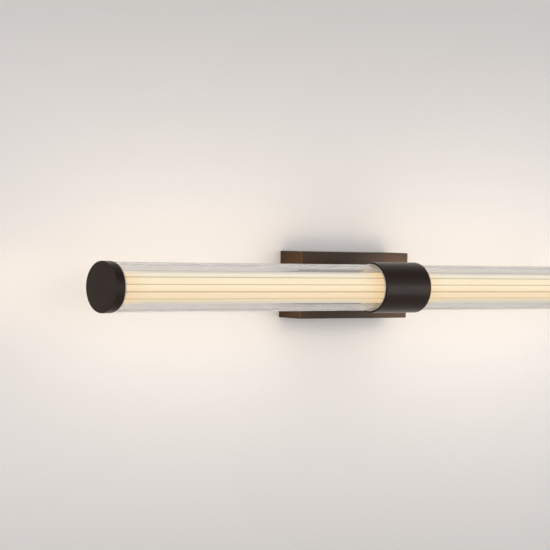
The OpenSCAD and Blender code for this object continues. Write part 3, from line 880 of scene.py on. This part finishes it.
def lock_washer():
    """Washer with twisted teeth round its outside."""
    low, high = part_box("lock_washer")
    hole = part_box("nipple")[1].z + 0.1 * MM
    middle = (low.y + high.y) / 2
    half = WASHER_T / 2
    rim_r = hole + 1.2 * MM
    teeth, tooth_depth, tip_half = 12, 1.4 * MM, 0.35 * MM
    gap_shift, steepness = 0.5, 1.6

    def tooth(angle):
        return high.z - tooth_depth * min(1, max(0, gap_shift + steepness * math.cos(teeth * angle)))

    def twisted(side):
        return lambda angle: middle + side * tip_half + (half - tip_half) * math.sin(teeth * angle)

    rings = [
        (middle - half, hole, 0.0),
        (middle - half, rim_r, 0.0),
        (twisted(-1), tooth, 0.0),
        (twisted(1), tooth, 0.0),
        (middle + half, rim_r, 0.0),
        (middle + half, hole, 0.0),
    ]
    bm = bmesh.new()
    lathe(bm, rings, steps=144, axis="Y", at=(0, 0, 0), closed=True)
    return as_piece(bm, "lock_washer_shown", zinc, ["lock_washer"], sharp=25)


def end_plug(name, side):
    """The plug as built, with a real thread on its stud."""
    shoulder = glass_high.x
    stud_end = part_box("right_end_plug")[1].x
    root = shoulder - 0.1 * MM
    plain_end, thread_start = shoulder + 0.4 * MM, shoulder + 0.45 * MM
    thread_end, thread_depth = stud_end - 0.5 * MM, 0.65 * MM
    tip_r = STUD_R - 0.75 * MM
    bm = node_copy(name)
    beyond = [v for v in bm.verts if side * v.co.x > shoulder + CLEARANCE]
    bmesh.ops.delete(bm, geom=beyond, context="VERTS")
    bmesh.ops.holes_fill(bm, edges=[e for e in bm.edges if len(e.link_faces) == 1])
    join_flat_faces(bm)
    rings = [(root, 0, 0.0), (root, STUD_R, 0.0), (plain_end, STUD_R, 0.0)]
    rings += thread_rings(thread_start, thread_end, STUD_R, STUD_PITCH, thread_depth)
    rings += [(stud_end, tip_r, 0.0), (stud_end, 0, 0.0)]
    lathe(bm, rings, steps=64, side=side)
    return as_piece(bm, name + "_shown", aluminium, [name])


def led_driver():
    """Moulded housing: two shells that meet in a seam, with rounded edges."""
    low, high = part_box("led_driver")
    middle = (low.x + high.x) / 2
    half_w = (high.x - low.x) / 2
    corner = 1.5 * MM
    ease = 0.7 * MM
    seam = low.y + 0.6 * (high.y - low.y)
    half_seam, seam_depth = 0.3 * MM, 0.35 * MM
    curve = quarter_turn(4)
    profile = [(low.y + ease * (1 - c), ease * (1 - s)) for s, c in curve]
    for y, inset in ((-half_seam, 0), (-half_seam, seam_depth), (half_seam, seam_depth), (half_seam, 0)):
        profile.append((seam + y, inset))
    profile += [(high.y - ease * (1 - c), ease * (1 - s)) for s, c in reversed(curve)]
    rings = []
    for y, inset in profile:
        outline = rectangle_ring(half_w - inset, high.z - inset, corner - inset, middle=middle)
        rings.append((y, outline, 0.0))
    bm = bmesh.new()
    loft(bm, rings)
    return as_piece(bm, "led_driver_shown", driver_white, ["led_driver"])


centre_collar()
stem()
plate = back_plate()
plate_screws()
ground_screw()
ground_lead()
nipple()
nipple_nut()
lock_washer()
led_driver()
tubes = []
for name, side in SIDES.items():
    tubes.append(glass_tube(name + "_glass_tube", side))
    diffuser(name + "_diffuser", side)
    seat_gasket(name + "_seat_gasket", side)
    cap_gasket(name + "_cap_gasket", side, name + "_gasket")
    end_cap(name + "_end_cap", side, name + "_cap")
    refined(name + "_heat_sink", aluminium, 0.2 * MM)
    end_plug(name + "_end_plug", side)
    refined(name + "_rail_screws", zinc, 0.15 * MM)
    for face in ("front", "rear"):
        refined(f"{name}_{face}_board", board_white, 0.08 * MM)
        refined(f"{name}_{face}_leds", phosphor, 0.15 * MM)
refined("centre_hub", aluminium, 0.15 * MM)
refined("mounting_bracket", zinc, 0.25 * MM)
refined("terminal_block", block_grey, 0.3 * MM)
for node in ("driver_pad", "terminal_pad"):
    refined(node, foam, 0)
LEADS = {
    "line_lead": "lead_black",
    "neutral_lead": "lead_white",
    "left_led_lead": "lead_white",
    "right_led_lead": "lead_grey",
}
for node, slot in LEADS.items():
    refined(node, lead_finishes[slot], 0)


# Wall, floor, lamps and world


# Pool of light painted on the wall: its half width, its drop below the axis, and where its fade starts and
# ends
POOL_HALF_W = 0.33
POOL_DROP = 0.010
POOL_NEAR, POOL_FAR = 0.08, 0.30


def backdrop_material():
    """Painted wall that is seen from the room only, with the tubes' glow painted into its colour as a paler
    pool round the light.
    """
    material, tree, shader = new_material("wall_paint_and_painted_glow")
    near_painted_glow, far_paint = (0.94, 0.91, 0.905, 1), (0.712, 0.702, 0.70, 1)
    roller = noise(tree, scale=500)
    tree.links.new(bump(tree, roller, 0.03 * MM), shader.inputs["Normal"])
    along, _, rise = add(tree, "SeparateXYZ", {0: place(tree)}).outputs
    level = add(tree, "Math", {0: rise, 1: POOL_DROP}, operation="ADD").outputs[0]
    height = size_of(tree, level)
    past = add(tree, "Math", {0: size_of(tree, along), 1: POOL_HALF_W}, operation="SUBTRACT").outputs[0]
    past = add(tree, "Math", {0: past, 1: 0.0}, operation="MAXIMUM").outputs[0]
    away = add(tree, "CombineXYZ", {0: past, 2: height}).outputs[0]
    distance = add(tree, "VectorMath", {0: away}, operation="LENGTH").outputs["Value"]
    # Painted light: near the light the wall's colour is paler, standing in for the tubes' glow on it
    fade = {"Value": distance, "From Min": POOL_NEAR, "From Max": POOL_FAR}
    pool = add(tree, "MapRange", fade, interpolation_type="SMOOTHSTEP").outputs["Result"]
    tree.links.new(blend_colours(tree, pool, near_painted_glow, far_paint), shader.inputs["Base Color"])
    shader.inputs["Roughness"].default_value = 0.85
    shader.inputs["Specular IOR Level"].default_value = 0.1
    behind = add(tree, "NewGeometry").outputs["Backfacing"]
    clear = add(tree, "BsdfTransparent").outputs[0]
    mix = add(tree, "MixShader", {0: behind, 1: shader.outputs[0], 2: clear})
    tree.links.new(mix.outputs[0], tree.nodes["Material Output"].inputs["Surface"])
    return material


def flat_stage(name, corners, material):
    """A single stage face."""
    mesh = bpy.data.meshes.new(name)
    mesh.from_pydata(corners, [], [(0, 1, 2, 3)])
    mesh.materials.append(material)
    stage_object = bpy.data.objects.new(name, mesh)
    bpy.context.scene.collection.objects.link(stage_object)
    return stage_object


WALL_Y = plate_high.y + 0.4 * MM
WALL_REACH = 6.0
FLOOR_Z = -0.9
FLOOR_REACH = 30.0
wall = flat_stage(
    "wall",
    [
        (-WALL_REACH, WALL_Y, FLOOR_Z),
        (WALL_REACH, WALL_Y, FLOOR_Z),
        (WALL_REACH, WALL_Y, WALL_REACH),
        (-WALL_REACH, WALL_Y, WALL_REACH),
    ],
    backdrop_material(),
)
wall.visible_diffuse = False
wall.visible_shadow = False
floor_material = plastic_finish(
    "floor_paint", (0.78, 0.77, 0.75, 1), (0.74, 0.73, 0.71, 1), 0.7, grain_scale=300, grain_height=0.01 * MM
)
flat_stage(
    "floor",
    [
        (-FLOOR_REACH, -FLOOR_REACH, FLOOR_Z),
        (FLOOR_REACH, -FLOOR_REACH, FLOOR_Z),
        (FLOOR_REACH, FLOOR_REACH, FLOOR_Z),
        (-FLOOR_REACH, FLOOR_REACH, FLOOR_Z),
    ],
    floor_material,
)


def area_lamp(name, place_at, look_at, width, height, power, colour, hidden=False):
    """A rectangular lamp at a place that shines toward another."""
    lamp = bpy.data.lights.new(name, "AREA")
    lamp.shape = "RECTANGLE"
    lamp.size = width
    lamp.size_y = height
    lamp.energy = power
    lamp.color = colour
    holder = bpy.data.objects.new(name, lamp)
    holder.location = place_at
    holder.rotation_euler = (Vector(look_at) - Vector(place_at)).to_track_quat("-Z", "Y").to_euler()
    bpy.context.scene.collection.objects.link(holder)
    if hidden:
        holder.visible_camera = False
        holder.visible_glossy = False
        holder.visible_transmission = False
    return holder


all_but_glass = bpy.data.collections.new("all_but_glass")
for tube in tubes:
    all_but_glass.objects.link(tube)
for item in all_but_glass.collection_objects:
    item.light_linking.link_state = "EXCLUDE"

# Glow of the tubes on all but the glass, above and below each half: direction, power and colour
GLOWS = ((1, 0.029, (1.0, 0.83, 0.61)), (-1, 0.034, (1.0, 0.90, 0.73)))
GLOW_TILT = math.radians(55)
GLOW_R = 14 * MM
GLOW_H = 18 * MM
glow_width = cap_high.x - collar_high.x
glow_middle = (collar_high.x + cap_high.x) / 2
for name, side in SIDES.items():
    for upward, power, colour in GLOWS:
        aim = Vector((0, math.cos(GLOW_TILT), upward * math.sin(GLOW_TILT)))
        start = Vector((side * glow_middle, AXIS_Y, 0)) + GLOW_R * aim
        lamp = area_lamp(name + "_glow", start, start + aim, glow_width, GLOW_H, power, colour, hidden=True)
        lamp.light_linking.receiver_collection = all_but_glass

# Glow on the wall past each cap
END_GLOW_W = 70 * MM
END_GLOW_GAP = 2 * MM
END_GLOW_POWER = 0.009
END_GLOW_COLOUR = (1.0, 0.81, 0.58)
for name, side in SIDES.items():
    start = (side * (cap_high.x + END_GLOW_W / 2), AXIS_Y + CAP_R + END_GLOW_GAP, 0)
    toward = (start[0], plate_high.y, 0)
    area_lamp(
        name + "_end_glow", start, toward, END_GLOW_W, GLOW_H, END_GLOW_POWER, END_GLOW_COLOUR, hidden=True
    )

# Glow on the plate alone: where each lamp is and where it shines along X, its power and its colour
PLATE_GLOWS = (
    ("left", -100 * MM, -plate_high.x, 0.28, (1.0, 0.80, 0.34)),
    ("right", 56 * MM, 26 * MM, 0.35, (1.0, 0.96, 0.92)),
)
PLATE_GLOW_W, PLATE_GLOW_H = 60 * MM, 16 * MM
PLATE_GLOW_BACK = 18 * MM
PLATE_GLOW_DEPTH = 0.9
plate_only = bpy.data.collections.new("lit_by_the_tubes")
plate_only.objects.link(plate)
for name, from_x, to_x, power, colour in PLATE_GLOWS:
    start = (from_x, AXIS_Y + PLATE_GLOW_BACK, 0)
    toward = (to_x, plate_low.y * PLATE_GLOW_DEPTH, 0)
    lamp = area_lamp(
        name + "_plate_glow", start, toward, PLATE_GLOW_W, PLATE_GLOW_H, power, colour, hidden=True
    )
    lamp.light_linking.receiver_collection = plate_only

# Studio lamps: one in front that leaves the glass out, and one behind
key = area_lamp(
    "front_soft", (1.75, -1.85, -0.4), AXIS, width=0.7, height=1.5, power=9.5, colour=(1.0, 0.97, 0.95)
)
key.visible_transmission = False
key.light_linking.receiver_collection = all_but_glass
area_lamp("rear_soft", (0.6, 2.2, 1.0), (0, 0, 0), width=1.6, height=1.2, power=10, colour=(1.0, 0.98, 0.96))


def room_world():
    """Soft light from all round: brighter level with the light and overhead than halfway up."""
    world = bpy.data.worlds.new("room")
    bpy.context.scene.world = world
    world.use_nodes = True
    tree = world.node_tree
    direction = add(tree, "TexCoord").outputs["Generated"]
    rise = add(tree, "SeparateXYZ", {0: direction}).outputs[2]
    level, halfway, overhead = (1.60, 1.57, 1.54, 1), (0.20, 0.198, 0.195, 1), (1.05, 1.04, 1.03, 1)
    through_glass = (0.90, 0.88, 0.85, 1)
    ramp = add(tree, "ValToRGB", {0: size_of(tree, rise)})
    stops = ramp.color_ramp.elements
    stops[0].position, stops[0].color = 0.0, level
    stops[1].position, stops[1].color = 1.0, overhead
    stops.new(0.66).color = halfway
    through = add(tree, "LightPath").outputs["Is Transmission Ray"]
    seen = blend_colours(tree, through, ramp.outputs[0], through_glass)
    tree.links.new(seen, tree.nodes["Background"].inputs["Color"])


room_world()


# Camera


def photo_camera():
    """The camera as fitted to the photograph, for a frame of 550 by 550 pixels."""
    frame_px = 550
    focal_px = 2195.5
    yaw, pitch, roll = 0.7108, -0.0243, 0.0274
    spot = Vector((-1.2915, -1.4210, 0.0532))
    data = bpy.data.cameras.new("photo_camera")
    data.sensor_fit = "HORIZONTAL"
    data.sensor_width = 36
    data.lens = focal_px / frame_px * data.sensor_width
    forward = Vector((math.sin(yaw) * math.cos(pitch), math.cos(yaw) * math.cos(pitch), math.sin(pitch)))
    level = Vector((math.cos(yaw), -math.sin(yaw), 0))
    upright = level.cross(forward)
    right = math.cos(roll) * level + math.sin(roll) * upright
    up = -math.sin(roll) * level + math.cos(roll) * upright
    turn = Matrix((right, up, -forward)).transposed()
    camera = bpy.data.objects.new("photo_camera", data)
    camera.matrix_world = Matrix.Translation(spot) @ turn.to_4x4()
    bpy.context.scene.collection.objects.link(camera)
    bpy.context.scene.camera = camera


photo_camera()
bpy.context.scene.view_settings.view_transform = "Standard"
